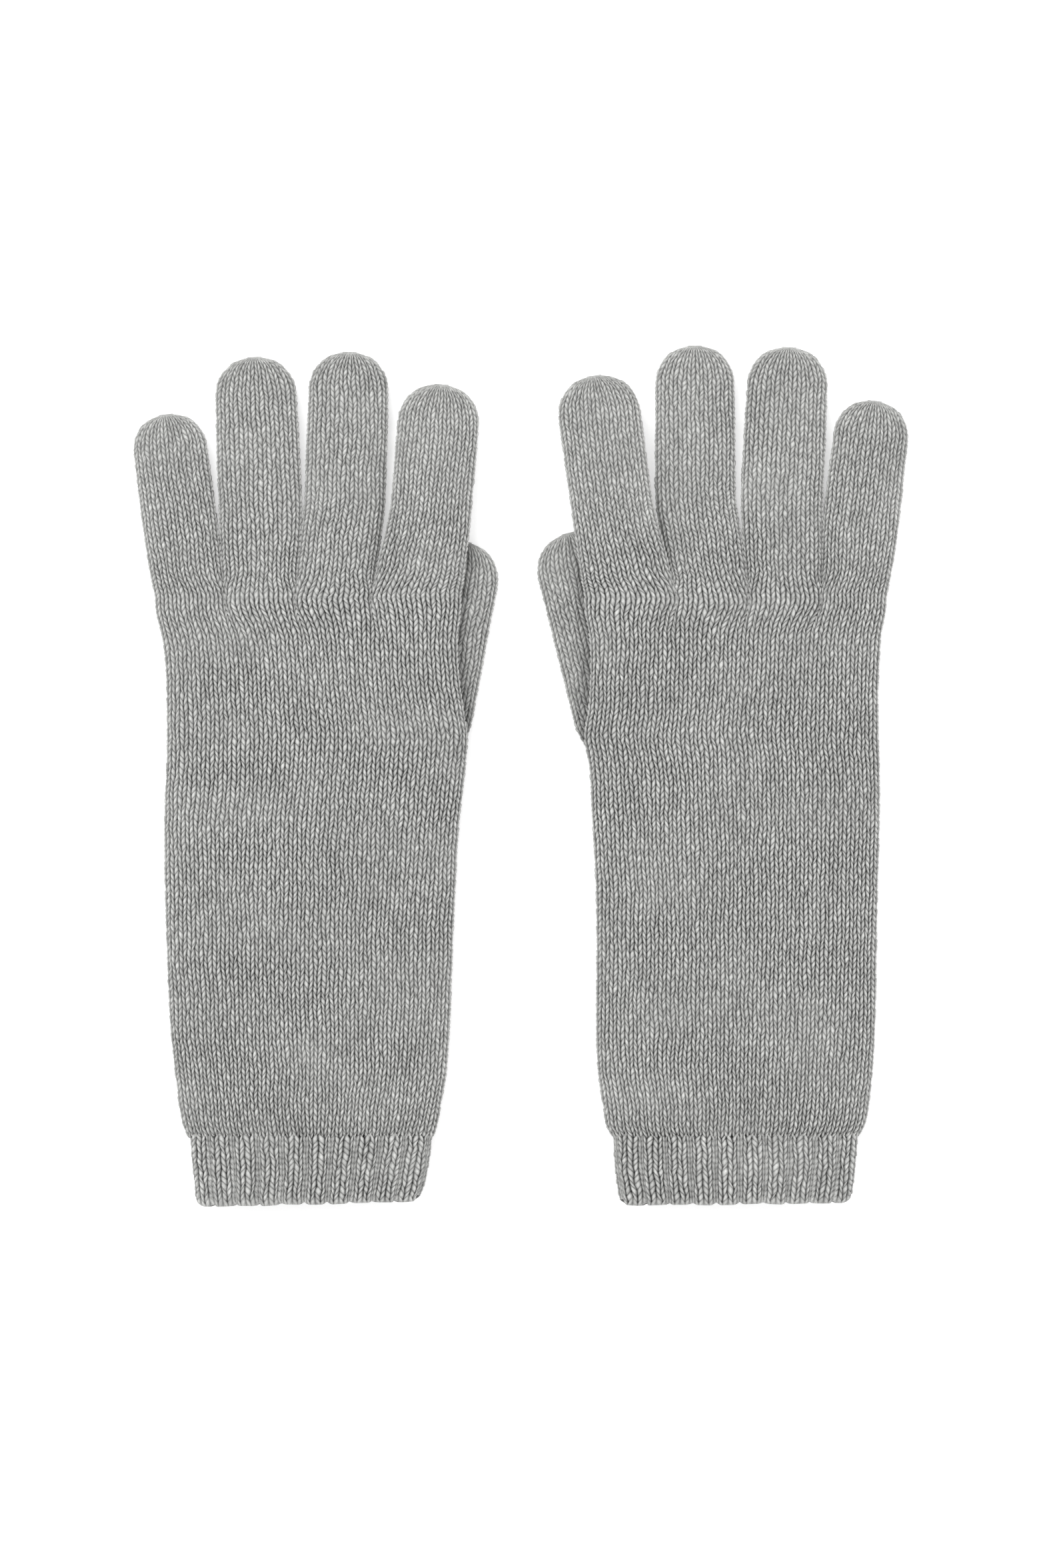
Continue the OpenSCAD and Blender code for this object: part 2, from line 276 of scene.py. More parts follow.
def body_point(side, a, y, inset):
    """Point of the sleeve and hand at wale a and height y, set in by inset."""
    wales = HAND_WALES
    half = wales / 2
    a = np.mod(a, wales)
    under = a > half
    top_a = np.where(under, wales - a, a)
    sign = np.where(under, -1.0, 1.0)
    left = -through(y, EDGE_Y, LITTLE_EDGE[side]) + inset
    right = through(y, EDGE_Y, THUMB_EDGE[side]) - inset
    x, k = on_section(HAND_SECTION, top_a / half)
    u = (left + right) / 2 + x * (right - left) / 2
    low, high = hand_floor(side, u, y)
    mid = (low + high) / 2
    thick = (high - low) / 2 - inset
    z = mid + sign * k * thick
    # Towards the knuckles the tube parts into four.
    thickness = bpy.context.scene.glove_shape.finger_thickness
    lobe_u = np.zeros_like(u)
    lobe_z = np.zeros_like(u)
    for f in range(4):
        here = (top_a >= STRIPS[f]) & (top_a <= STRIPS[f + 1])
        q = (top_a - STRIPS[f]) / (STRIPS[f + 1] - STRIPS[f])
        fx, arc = on_section(FINGER_SECTION, np.clip(q, 0, 1))
        fl = CREASES[side][f] + inset
        fr = CREASES[side][f + 1] - inset
        zl, zr = CREASE_Z[f], CREASE_Z[f + 1]
        fu = (fl + fr) / 2 + fx * (fr - fl) / 2
        fz = (zl + zr) / 2 + fx * (zr - zl) / 2 + sign * arc * (thickness / 2 - inset)
        lobe_u = np.where(here, fu, lobe_u)
        lobe_z = np.where(here, fz, lobe_z)
    part = ease((y - RIM_Y + mm(18)) / mm(17.6)) ** 2.2
    u = u + (lobe_u - u) * part
    z = z + (lobe_z - z) * part
    return u, y, z


# ---------------------------------------------------------------- fingers and thumb


def finger_line(side, name):
    """Centre line of a finger: its places, lean and length, in the glove's own frame."""
    f = FINGERS.index(name)
    start = ((CREASES[side][f] + CREASES[side][f + 1]) / 2, RIM_Y)
    marks = [start]
    for joint in ("middle_fold", "tip_fold"):
        p = joint_place(SIDES[side] + "_" + name + "_" + joint)
        marks.append(((p[0] - CENTRE[side]) * TURN[side], p[1]))
    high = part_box(SIDES[side] + "_" + name + "_tip")[1]
    (u1, y1), (u2, y2) = marks[1], marks[2]
    end_y = high[1] + mm(0.3)
    marks.append((u2 + (u2 - u1) / (y2 - y1) * (end_y - y2), end_y))
    return marks


def line_at(marks, s):
    """Place and direction along a smooth line through marks, at distance s."""
    m = np.asarray(marks)
    d = np.concatenate([[0], np.cumsum(np.hypot(*(m[1:] - m[:-1]).T))])
    t = np.linspace(-mm(30), d[-1] + mm(5), 400)
    u = np.interp(t, d, m[:, 0])
    y = np.interp(t, d, m[:, 1])
    head = t < 0
    u[head] = m[0, 0]
    y[head] = m[0, 1] + t[head]
    tail = t > d[-1]
    u[tail] = m[-1, 0] + (m[-1, 0] - m[-2, 0]) / (d[-1] - d[-2]) * (t[tail] - d[-1])
    y[tail] = m[-1, 1] + (m[-1, 1] - m[-2, 1]) / (d[-1] - d[-2]) * (t[tail] - d[-1])
    soft = np.ones(41) / 41
    pu = np.convolve(np.pad(u, 20, mode="reflect", reflect_type="odd"), soft, mode="valid")
    py = np.convolve(np.pad(y, 20, mode="reflect", reflect_type="odd"), soft, mode="valid")
    keep = ease((t - mm(0.5)) / mm(8))
    pu = u * (1 - keep) + pu * keep
    py = y * (1 - keep) + py * keep
    lean = np.arctan2(np.gradient(pu), np.gradient(py))
    return np.interp(s, t, pu), np.interp(s, t, py), np.interp(s, t, lean), d[-1]


TIP_ROWS = 4


def course_run(c, count, length):
    """Distance along a finger at course c, with the last courses drawn close round the tip."""
    end = mm(4.2)
    body = (length - end) / (count - TIP_ROWS)
    t = np.clip((c - (count - TIP_ROWS)) / TIP_ROWS, 0, 1)
    return np.where(c <= count - TIP_ROWS, c * body, length - end * (1 - np.sin(t * math.pi / 2)))


def tube_end(s, length, half_w, half_t):
    """Half width and half thickness as a tube closes at its end."""
    left = np.clip(length - s, 0, None)
    reach = half_w * 1.02
    close = np.sqrt(np.clip(1 - (np.clip(reach - left, 0, None) / reach) ** 2.2, 0, 1))
    w = half_w * close
    w = np.maximum(w, mm(2.4) * np.clip(1 - left / mm(3), 0, 1))
    deep = mm(6.5)
    t = half_t * np.clip(1 - (np.clip(deep - left, 0, None) / deep) ** 2.6, 0, 1) ** 0.55
    return w, t


def finger_point(name, a, c, inset, plan):
    """Point of a finger at wale a and course c."""
    f = FINGERS.index(name)
    wales = plan["wales"]
    half = wales / 2
    a = np.mod(a, wales)
    under = a > half
    top_a = np.where(under, wales - a, a)
    sign = np.where(under, -1.0, 1.0)
    length = plan["length"] - inset * 0.9
    s = course_run(c, plan["courses"], plan["length"])
    s = np.minimum(s, length)
    pu, py, lean, _ = line_at(plan["marks"], s)
    turn = lean * ease(s / mm(13))
    # Side columns open from nothing at the crotch.
    open_up = ease((s - mm(0.2)) / mm(9)) + 1e-4
    first = np.where(f > 0, open_up, 1.0)
    last = np.where(f < 3, open_up, 1.0)
    total = half - 2 + first + last
    walk = np.where(top_a <= 1, top_a * first, first + (np.minimum(top_a, half - 1) - 1))
    walk = np.where(top_a > half - 1, first + (half - 2) + (top_a - half + 1) * last, walk)
    x, k = on_section(FINGER_SECTION, walk / total)
    width = through(s, plan["width_at"], plan["width"])
    thickness = bpy.context.scene.glove_shape.finger_thickness
    half_w, half_t = tube_end(s, length, width / 2 - inset, thickness / 2 - inset)
    settle = ease(s / mm(24))
    zl = CREASE_Z[f] + (plan["level"] - CREASE_Z[f]) * settle
    zr = CREASE_Z[f + 1] + (plan["level"] - CREASE_Z[f + 1]) * settle
    drop = plan["droop"] * ease((s - mm(22)) / (plan["length"] - mm(22)))
    z = (zl + zr) / 2 + x * (zr - zl) / 2 - drop + sign * k * half_t
    # The outer side of the hand runs straight into the finger's edge.
    u = pu + x * half_w * np.cos(turn)
    y = py - x * half_w * np.sin(turn)
    return u, y, z


def thumb_point(a, c, inset, plan):
    """Point of the thumb at wale a and course c."""
    wales = plan["wales"]
    half = wales / 2
    a = np.mod(a, wales)
    under = a > half
    top_a = np.where(under, wales - a, a)
    sign = np.where(under, -1.0, 1.0)
    length = plan["length"] - inset * 0.9
    s = np.minimum(course_run(c, plan["courses"], plan["length"]), length)
    x, k = on_section(FINGER_SECTION, top_a / half)
    half_w, half_t = tube_end(s, length, plan["width"] / 2 - inset, plan["thick"] / 2 - inset)
    lean = plan["lean"]
    # It grows out of the palm, thinner and narrower where it starts inside the hand.
    out = ease(s / mm(13))
    half_w = half_w * (0.86 + 0.14 * out)
    half_t = half_t * (0.55 + 0.45 * out)
    back = 1 - out
    pu = plan["start"][0] + s * math.sin(lean) - mm(1.2) * back
    py = plan["start"][1] + s * math.cos(lean)
    u = pu + x * half_w * math.cos(lean)
    y = py - x * half_w * math.sin(lean)
    z = plan["thick"] / 2 + mm(0.9) * back + sign * k * half_t
    return u, y, z


def cuff_point(a, c, inset, plan):
    """Point of the rib cuff at wale a and course c from the mouth."""
    wales = plan["wales"]
    half = wales / 2
    sunk, _ = rib_wave(a, wales, plan["ribs"])
    chance = cells(77, a, c * 0 + 3, plan["ribs"], wales)
    # The sunk wales are drawn together, so the raised ones fill most of each rib.
    per_rib = wales / plan["ribs"]
    a = a - 0.19 * np.sin(2 * math.pi * (a + 0.5) / per_rib)
    a = np.mod(a, wales)
    under = a > half
    top_a = np.where(under, wales - a, a)
    sign = np.where(under, -1.0, 1.0)
    t = c / plan["courses"]
    slope = plan["slope"]
    x, k = on_section(HAND_SECTION, top_a / half)
    firm = plan["rib_height"] * (0.5 + 0.5 * ease(1.2 - t)) * (0.6 + 0.8 * chance)
    grow = -sunk * np.where(inset > 0, firm * 0.6, firm)
    left = through(t, [0, 0.5, 1], plan["left"]) - inset + grow
    right = through(t, [0, 0.5, 1], plan["right"]) - inset + grow
    thick = through(t, [0, 0.5, 0.85, 1], plan["thick"]) / 2 - inset + grow
    mid = through(t, [0, 0.5, 1], plan["mid"])
    u = (right - left) / 2 + x * (right + left) / 2
    # The free edge dips at each rib and slopes a little across the arm.
    lobe = np.sqrt(1 - sunk) * mm(0.5) + (1 - sunk) * mm(0.5) * chance
    corner = mm(1.5) * np.clip((np.abs(x) - 0.92) / 0.08, 0, 1) ** 2
    edge = (mm(0.6) - lobe + corner + slope * x) * (1 - t) ** 3
    y = MOUTH_Y + mm(1.4) + t * (CUFF_Y - MOUTH_Y - mm(1.4) + mm(1.0)) + edge
    # The free edge rolls in a little.
    roll = ease(1 - (y - MOUTH_Y - mm(1.4)) / mm(1.6))
    thick = thick - roll * mm(0.7)
    z = mid + sign * k * thick
    return u, y, z


# ---------------------------------------------------------------- stitches


CHANCE_ROWS = 260


def cells(seed, a, c, columns, wales, soft=True):
    """Chance values from 0 to 1 on a lattice of stitches, repeating round the tube."""
    table = np.random.default_rng(seed).random((CHANCE_ROWS, columns))
    x = np.mod(a / wales * columns, columns)
    y = c + 40.0
    i = np.floor(x).astype(int)
    j = np.floor(y).astype(int)
    if not soft:
        return table[j % CHANCE_ROWS, i % columns]
    fx = ease(x - i)
    fy = ease(y - j)
    row, next_row = j % CHANCE_ROWS, (j + 1) % CHANCE_ROWS
    column, next_column = i % columns, (i + 1) % columns
    low = table[row, column] * (1 - fx) + table[row, next_column] * fx
    high = table[next_row, column] * (1 - fx) + table[next_row, next_column] * fx
    return low * (1 - fy) + high * fy


def stitch_relief(a, c):
    """How far a place lies across a leg and along it, each from 0 at the gap to 1 on the crown."""
    leg = np.mod(2 * np.mod(a, 1.0), 1.0)
    across = np.sin(math.pi * leg) ** 0.7
    along = np.abs(np.sin(math.pi * np.mod(c, 1.0))) ** 0.55
    return across, along


def climb(a, slant):
    """How far along a stitch leg has climbed at this place across its wale."""
    return slant * (np.abs(2 * np.mod(a, 1.0) - 1.0) - 0.5)


def steady(a, wales):
    """Keeps the stitches at the two side edges of a tube in their place."""
    near = np.mod(a, wales / 2)
    return ease(np.minimum(near, wales / 2 - near) / 1.5)


def rib_wave(a, wales, ribs):
    """How sunk a rib cuff is at wale a, and how far it shows the purl side there."""
    x = np.mod((a + 0.5) / wales * ribs, 1.0)
    away = np.minimum(x, 1 - x) * 2
    sunk = 1 - ease(away / 0.62)
    purl = 1 - ease((away - 0.08) / 0.16)
    return sunk, purl


def knit(name, point, wales, c_low, c_high, side, fabric, tip=False, calm_low=False,
         calm_high=False, ribs=0, seed=1, painted_shadow_at=None):
    """A tube of knitted stitches with its inner wall, from course c_low to c_high."""
    per_leg = fabric.leg_points
    per_course = fabric.course_points
    cols = wales * per_leg * 2
    rows = int(round((c_high - c_low) * per_course)) + 1
    a_line = np.arange(cols + 1) / (per_leg * 2)
    ghost = 2
    c_line = c_low + (np.arange(-ghost, rows + ghost)) / per_course
    a, c0 = np.meshgrid(a_line, c_line)
    calm = np.ones_like(c0)
    if calm_low:
        calm = calm * ease((c0 - c_low) / 1.2)
    if calm_high:
        calm = calm * ease((c_high - c0) / 1.2)
    if tip:
        calm = calm * ease((c_high - c0) / 4.0)
    full_climb = climb(a, fabric.slant)
    # No two stitches sit quite alike.
    wander_a = (cells(seed + 1, a, c0, wales * 2, wales) - 0.5) * 0.20
    wander_a = wander_a + (cells(seed + 2, a, c0 / 6, max(4, wales // 5), wales) - 0.5) * 0.30
    wander_c = (cells(seed + 3, a, c0, wales, wales) - 0.5) * 0.34
    wander_c = wander_c + (cells(seed + 4, a, c0 / 5, max(4, wales // 6), wales) - 0.5) * 0.4
    c = c0 + (full_climb + wander_c) * calm
    if tip:
        c = np.minimum(c, c_high)
    u, y, z = point(a + wander_a * calm * steady(a, wales), c, 0.0)
    base = np.stack([u, y, z], axis=-1)
    # Outward direction of the plain tube, from a smoother copy of the rows.
    u2, y2, z2 = point(a, c0, 0.0)
    plain = np.stack([u2, y2, z2], axis=-1)
    da = np.roll(plain[:, :-1], -1, axis=1) - np.roll(plain[:, :-1], 1, axis=1)
    da = np.concatenate([da, da[:, :1]], axis=1)
    dc = np.gradient(plain, axis=0)
    normal = np.cross(da, dc)
    size = np.linalg.norm(normal, axis=-1, keepdims=True)
    normal = normal / np.maximum(size, 1e-12)
    # The pattern keeps its slant where the rows of points straighten.
    pattern = c0 - (1 - calm) * full_climb
    across, along = stitch_relief(a, pattern)
    full = 1 + (cells(seed + 5, a, pattern, wales * 2, wales, soft=False) - 0.5) * 0.5
    fill = cells(seed + 6, a, pattern, wales * 2, wales)
    crisp = 1.0 if wales > 40 else 1.0 - 0.28 * ease((c0 - 2) / 20)
    firm = 0.8 + 0.5 * cells(seed + 7, a, c0 / 7, max(4, wales // 8), wales)
    height = across * (0.42 + 0.58 * along) * full + (1 - across) * 0.10 * fill
    # Painted shade: dark is the yarn's colour, darkened in the gaps between the legs and where one stitch
    # meets the next, with some gaps filled by fuzz and left lighter.
    dark = across * (0.34 + 0.66 * along) + (1 - across) * 0.30 * fill
    tone_and_shadow = 1 + (cells(seed + 8, a, pattern, wales * 2, wales, soft=False) - 0.5) * 0.22
    tone_and_shadow = tone_and_shadow + (cells(seed + 9, a, c0 / 3, wales, wales) - 0.5) * 0.10
    if ribs:
        # The sunk purl columns of the rib are painted darker, as shade in the grooves, and lighter on the
        # purl bumps; by the hem the relief and the painted shade even out.
        purl = rib_wave(a, wales, ribs)[1]
        bumps = np.abs(np.sin(math.pi * (c0 + 0.5))) ** 0.6
        height = height * (1 - purl) + purl * (0.2 + 0.5 * bumps)
        dark = dark * (1 - purl) + purl * (0.22 + 0.5 * bumps)
        hem = ease((c0 - c_low) / 1.3)
        height = 0.5 + (height - 0.5) * hem
        dark = 0.70 + (dark - 0.70) * hem
    fade = np.ones_like(c0)
    # A painted shadow, where the caller gives one, darkens the yarn's colour, as on a thumb along the edge
    # of its palm.
    if painted_shadow_at is not None:
        tone_and_shadow = tone_and_shadow * painted_shadow_at(base[..., 0], base[..., 1])
    if tip:
        fade = ease((c_high - c0) / 3.0)
        height = height * fade
        # The painted gap shade fades out as the tip closes.
        dark = 0.8 + (dark - 0.8) * fade
    # The depth of the painted gap shade varies from place to place, and it is shallower up the fingers and
    # thumbs.
    dark = np.clip(0.85 + (dark - 0.85) * firm * crisp, -0.05, 1.1)
    sway = ripple(base[..., 0], base[..., 1], 5, 0.012) * mm(0.12)
    sway = sway + ripple(base[..., 0], base[..., 1], 11, 0.034) * mm(0.28)
    if tip:
        sway = sway * ease((c_high - c0) / 5.0)
    up = np.clip(normal[..., 2], 0, 1)
    shift = (height - 0.55) * fabric.relief * fade
    pos = base + normal * shift[..., None]
    pos[..., 2] += sway * up
    if tip:
        # The last row is drawn shut, back to front.
        last = ghost + rows - 1
        for r in range(last, len(c_line)):
            pos[r] = (pos[r] + pos[r][::-1]) / 2
    # True normals of the finished face.
    ta = np.roll(pos[:, :-1], -1, axis=1) - np.roll(pos[:, :-1], 1, axis=1)
    ta = np.concatenate([ta, ta[:, :1]], axis=1)
    tc = np.gradient(pos, axis=0)
    face = np.cross(ta, tc)
    face = face / np.maximum(np.linalg.norm(face, axis=-1, keepdims=True), 1e-12)
    face = np.where(np.linalg.norm(face, axis=-1, keepdims=True) < 0.5, normal, face)
    outer = pos[ghost : ghost + rows]
    outer_n = face[ghost : ghost + rows]
    outer_shade = dark[ghost : ghost + rows]
    outer_t = tone_and_shadow[ghost : ghost + rows]
    # The inner wall is plain, with few rows.
    inner_rows = max(3, int((c_high - c_low) / 2.5))
    ci = np.linspace(c_high, c_low, inner_rows)
    ai, cc = np.meshgrid(a_line, ci)
    iu, iy, iz = point(ai, cc, fabric.wall)
    inner = np.stack([iu, iy, iz], axis=-1)
    if tip:
        inner[0] = (inner[0] + inner[0][::-1]) / 2
    ida = np.roll(inner[:, :-1], -1, axis=1) - np.roll(inner[:, :-1], 1, axis=1)
    ida = np.concatenate([ida, ida[:, :1]], axis=1)
    idc = np.gradient(inner, axis=0)
    inner_n = np.cross(ida, idc)
    inner_n = inner_n / np.maximum(np.linalg.norm(inner_n, axis=-1, keepdims=True), 1e-12)
    grid = np.concatenate([outer, inner, outer[:1]], axis=0)
    normals = np.concatenate([outer_n, inner_n, outer_n[:1]], axis=0)
    # Painted gap shade for the outer face; the inner wall gets an even middle value.
    painted_shading = np.concatenate([outer_shade, np.full(inner.shape[:2], 0.5), outer_shade[:1]], axis=0)
    shade = np.concatenate([outer_t, np.full(inner.shape[:2], 0.9), outer_t[:1]], axis=0)
    stitch_u = np.concatenate([a[ghost : ghost + rows], ai, a[ghost : ghost + 1]], axis=0)
    stitch_v = np.concatenate([pattern[ghost : ghost + rows], cc, pattern[ghost : ghost + 1]], axis=0)
    return knit_object(name, grid, normals, (painted_shading, shade), stitch_u, stitch_v, side, rows if tip else 0)


def knit_object(name, grid, normals, painted_shading, stitch_u, stitch_v, side, open_row):
    """A mesh from a grid of points whose first and last columns and rows meet."""
    count_y, count_x = grid.shape[:2]
    bpy.ops.object.select_all(action="DESELECT")
    bpy.ops.mesh.primitive_grid_add(
        x_subdivisions=count_x - 1, y_subdivisions=count_y - 1, size=1.0, calc_uvs=True
    )
    piece = bpy.context.object
    piece.name = name
    mesh = piece.data
    mesh.name = name
    if len(mesh.vertices) != count_x * count_y:
        raise RuntimeError("the grid came out with the wrong count of points")
    place = grid.copy()
    facing = normals.copy()
    place[..., 0] = CENTRE[side] + TURN[side] * place[..., 0]
    facing[..., 0] = TURN[side] * facing[..., 0]
    mesh.vertices.foreach_set("co", place.reshape(-1))
    mesh.uv_layers[0].name = "OFBake"
    loops = np.empty(len(mesh.loops), dtype=np.int32)
    mesh.loops.foreach_get("vertex_index", loops)
    # The neat sheet for baking keeps clear of its border.
    uv = np.empty(len(mesh.loops) * 2)
    gx = (loops % count_x) / (count_x - 1)
    gy = (loops // count_x) / (count_y - 1)
    uv[0::2] = 0.01 + 0.98 * gx
    uv[1::2] = 0.01 + 0.98 * gy
    mesh.uv_layers["OFBake"].data.foreach_set("uv", uv)
    stitch = mesh.uv_layers.new(name="Stitch")
    uv[0::2] = stitch_u.reshape(-1)[loops]
    uv[1::2] = stitch_v.reshape(-1)[loops]
    stitch.data.foreach_set("uv", uv)
    for label, values in zip(("painted_gap_shade", "tone_and_shadow"), painted_shading):
        layer = mesh.attributes.new(label, "FLOAT", "POINT")
        layer.data.foreach_set("value", np.ascontiguousarray(values.reshape(-1), dtype=np.float32))
    keep = mesh.attributes.new("facing", "FLOAT_VECTOR", "POINT")
    keep.data.foreach_set("vector", np.ascontiguousarray(facing.reshape(-1), dtype=np.float32))
    bpy.ops.object.mode_set(mode="EDIT")
    if open_row:
        bpy.ops.mesh.select_all(action="DESELECT")
        bpy.ops.object.mode_set(mode="OBJECT")
        first = (open_row - 1) * (count_x - 1)
        flags = np.zeros(len(mesh.polygons), dtype=bool)
        flags[first : first + count_x - 1] = True
        mesh.polygons.foreach_set("select", flags)
        bpy.ops.object.mode_set(mode="EDIT")
        bpy.ops.mesh.select_mode(type="FACE")
        bpy.ops.mesh.delete(type="FACE")
        bpy.ops.mesh.select_mode(type="VERT")
    bpy.ops.mesh.select_all(action="SELECT")
    bpy.ops.mesh.remove_doubles(threshold=2e-6)
    if side == 1:
        bpy.ops.mesh.select_all(action="SELECT")
        bpy.ops.mesh.flip_normals()
    bpy.ops.object.mode_set(mode="OBJECT")
    bpy.ops.object.shade_smooth()
    mesh = piece.data
    kept = np.empty(len(mesh.vertices) * 3, dtype=np.float32)
    mesh.attributes["facing"].data.foreach_get("vector", kept)
    kept = kept.reshape(-1, 3)
    mesh.normals_split_custom_set_from_vertices([tuple(v) for v in kept.tolist()])
    mesh.attributes.remove(mesh.attributes["facing"])
    return piece


# ---------------------------------------------------------------- materials


def yarn_material(name, colour, gap=0.03, crisp=0.5):
    """Soft melange yarn: fibres along each leg, pale and dark strands, painted shade in the gaps between
    legs, and a sheen.
    """
    material = bpy.data.materials.new(name)
    material.use_nodes = True
    nodes = material.node_tree.nodes
    links = material.node_tree.links
    shader = nodes["Principled BSDF"]
    shader.inputs["Roughness"].default_value = 0.92
    shader.inputs["Specular IOR Level"].default_value = 0.15
    shader.inputs["Sheen Weight"].default_value = 0.35
    shader.inputs["Sheen Roughness"].default_value = 0.45
    shader.inputs["Sheen Tint"].default_value = (1, 1, 1, 1)

    place = nodes.new("ShaderNodeTexCoord")
    stitch = nodes.new("ShaderNodeUVMap")
    stitch.uv_map = "Stitch"

    # Mottled melange of pale and dark fibre, in object space.
    mottle = nodes.new("ShaderNodeTexNoise")
    mottle.inputs["Scale"].default_value = 420.0
    mottle.inputs["Detail"].default_value = 6.0
    mottle.inputs["Roughness"].default_value = 0.7
    links.new(place.outputs["Object"], mottle.inputs["Vector"])
    cloud = nodes.new("ShaderNodeTexNoise")
    cloud.inputs["Scale"].default_value = 55.0
    cloud.inputs["Detail"].default_value = 3.0
    links.new(place.outputs["Object"], cloud.inputs["Vector"])

    # Fibres drawn out along the stitches.
    stretch = nodes.new("ShaderNodeMapping")
    stretch.inputs["Scale"].default_value = (9.0, 1.3, 1.0)
    links.new(stitch.outputs["UV"], stretch.inputs["Vector"])
    fibre = nodes.new("ShaderNodeTexNoise")
    fibre.inputs["Scale"].default_value = 2.2
    fibre.inputs["Detail"].default_value = 5.0
    fibre.inputs["Roughness"].default_value = 0.75
    links.new(stretch.outputs["Vector"], fibre.inputs["Vector"])

    # Painted shade in the gaps between the stitch legs: the stored gap shade, mixed with the same shade
    # drawn from the stitch map, darkens the yarn's colour down to gap.
    painted_gap_shade = nodes.new("ShaderNodeAttribute")
    painted_gap_shade.attribute_name = "painted_gap_shade"
    shade = nodes.new("ShaderNodeMapRange")
    shade.inputs["From Min"].default_value = 0.16
    shade.inputs["From Max"].default_value = 0.95
    shade.inputs["To Min"].default_value = gap
    shade.inputs["To Max"].default_value = 1.21
    legs = nodes.new("ShaderNodeSeparateXYZ")
    links.new(stitch.outputs["UV"], legs.inputs["Vector"])

    def arch(source, turns, power):
        value = source
        for operation, number in (("MULTIPLY", turns), ("SINE", None), ("ABSOLUTE", None), ("POWER", power)):
            step = nodes.new("ShaderNodeMath")
            step.operation = operation
            links.new(value, step.inputs[0])
            if number is not None:
                step.inputs[1].default_value = number
            value = step.outputs["Value"]
        return value

    def blend_of(a, b, share):
        mix = nodes.new("ShaderNodeMix")
        mix.data_type = "FLOAT"
        mix.inputs["Factor"].default_value = share
        links.new(a, mix.inputs["A"])
        links.new(b, mix.inputs["B"])
        return mix.outputs["Result"]

    # Legs drawn from the stitch map: light on each leg's crown, painted dark at the gaps between legs and at
    # their ends.
    across = arch(legs.outputs["X"], 2 * math.pi, 0.5)
    along = arch(legs.outputs["Y"], math.pi, 0.5)
    both = nodes.new("ShaderNodeMath")
    both.operation = "MULTIPLY"
    links.new(across, both.inputs[0])
    links.new(along, both.inputs[1])
    leg = blend_of(across, both.outputs["Value"], 0.55)
    links.new(blend_of(painted_gap_shade.outputs["Fac"], leg, crisp), shade.inputs["Value"])
    tone_and_shadow = nodes.new("ShaderNodeAttribute")
    tone_and_shadow.attribute_name = "tone_and_shadow"

    def spread(noise, low, high):
        span = nodes.new("ShaderNodeMapRange")
        span.inputs["From Min"].default_value = 0.3
        span.inputs["From Max"].default_value = 0.7
        span.inputs["To Min"].default_value = low
        span.inputs["To Max"].default_value = high
        links.new(noise.outputs["Fac"], span.inputs["Value"])
        return span.outputs["Result"]

    def product(a, b):
        times = nodes.new("ShaderNodeMath")
        times.operation = "MULTIPLY"
        links.new(a, times.inputs[0])
        links.new(b, times.inputs[1])
        return times.outputs["Value"]

    value = product(spread(mottle, 0.78, 1.22), spread(cloud, 0.95, 1.05))
    value = product(value, spread(fibre, 0.78, 1.22))
    value = product(value, shade.outputs["Result"])
    value = product(value, tone_and_shadow.outputs["Fac"])
    tint = nodes.new("ShaderNodeVectorMath")
    tint.operation = "SCALE"
    tint.inputs[0].default_value = colour
    links.new(value, tint.inputs["Scale"])
    links.new(tint.outputs["Vector"], shader.inputs["Base Color"])

    # Fine strands and fuzz in the surface itself.
    fine = nodes.new("ShaderNodeTexNoise")
    fine.inputs["Scale"].default_value = 1500.0
    fine.inputs["Detail"].default_value = 4.0
    links.new(place.outputs["Object"], fine.inputs["Vector"])
    bump = nodes.new("ShaderNodeBump")
    bump.inputs["Strength"].default_value = 0.5
    bump.inputs["Distance"].default_value = 0.0003
    links.new(fine.outputs["Fac"], bump.inputs["Height"])
    bump2 = nodes.new("ShaderNodeBump")
    bump2.inputs["Strength"].default_value = 0.6
    bump2.inputs["Distance"].default_value = 0.0004
    links.new(fibre.outputs["Fac"], bump2.inputs["Height"])
    links.new(bump.outputs["Normal"], bump2.inputs["Normal"])
    links.new(bump2.outputs["Normal"], shader.inputs["Normal"])
    return material


def dress(piece, slot):
    """Gives a piece its yarn, picked by its slot."""
    scene = bpy.context.scene
    name = "plain_yarn" if slot == "plain_knit" else "rib_yarn"
    material = bpy.data.materials.get(name) or yarn_material(name, tuple(scene.glove_colours.yarn))
    piece.data.materials.clear()
    piece.data.materials.append(material)


# ---------------------------------------------------------------- pieces


CUFF_COURSES = 12


